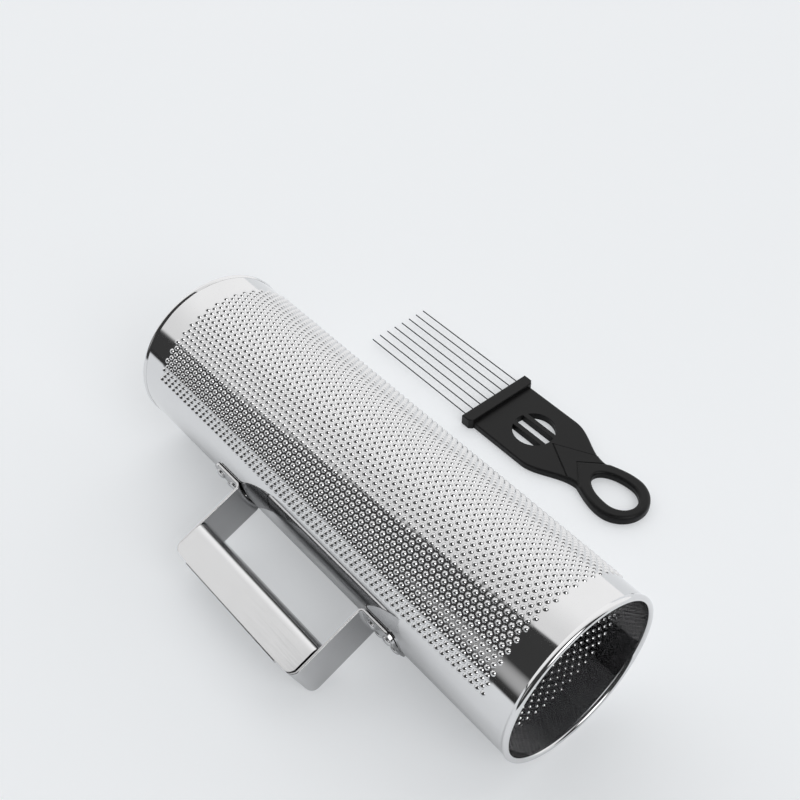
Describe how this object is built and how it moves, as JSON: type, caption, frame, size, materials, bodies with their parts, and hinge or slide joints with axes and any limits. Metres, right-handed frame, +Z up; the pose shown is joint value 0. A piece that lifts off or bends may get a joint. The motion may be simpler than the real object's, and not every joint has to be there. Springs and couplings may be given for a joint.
{
  "type": "metal guiro",
  "caption": "Polished steel tube covered in punched domes, with rolled rims and a riveted strap handle, lying beside its loose comb-shaped scraper with steel pins",
  "frame": {"origin": "On the table, under the middle of the box around the drum and its scraper", "axes": "+X along the drum's axis towards its front end, -Y towards the drum's handle, +Y towards the scraper, +Z up"},
  "size_m": [0.309, 0.2596, 0.1022],
  "materials": {
    "drum_steel": "mirror polished steel sheet",
    "rim_steel": "mirror polished rolled bead",
    "handle_steel": "satin steel band",
    "grip_steel": "polished folded sheet",
    "rivet_steel": "plain steel rivet",
    "scraper_plastic": "black satin moulding",
    "pin_steel": "dark bright-drawn wire"
  },
  "bodies": {
    "drum": {"drum_shell": "drum_steel", "front_rim": "rim_steel", "rear_rim": "rim_steel", "handle_strap": "handle_steel", "handle_grip": "grip_steel", "front_rivet_1": "rivet_steel", "front_rivet_2": "rivet_steel", "front_rivet_3": "rivet_steel", "front_rivet_4": "rivet_steel", "rear_rivet_1": "rivet_steel", "rear_rivet_2": "rivet_steel", "rear_rivet_3": "rivet_steel", "rear_rivet_4": "rivet_steel"},
    "scraper": {"scraper_handle": "scraper_plastic", "scraper_pin_1": "pin_steel", "scraper_pin_2": "pin_steel", "scraper_pin_3": "pin_steel", "scraper_pin_4": "pin_steel", "scraper_pin_5": "pin_steel", "scraper_pin_6": "pin_steel", "scraper_pin_7": "pin_steel", "scraper_pin_8": "pin_steel"}
  },
  "joints": [
    {"name": "scraper_stroke", "type": "slide", "parent": "drum", "child": "scraper", "axis": [1, 0, 0], "range_m": [-0.12, 0.12]}
  ]
}
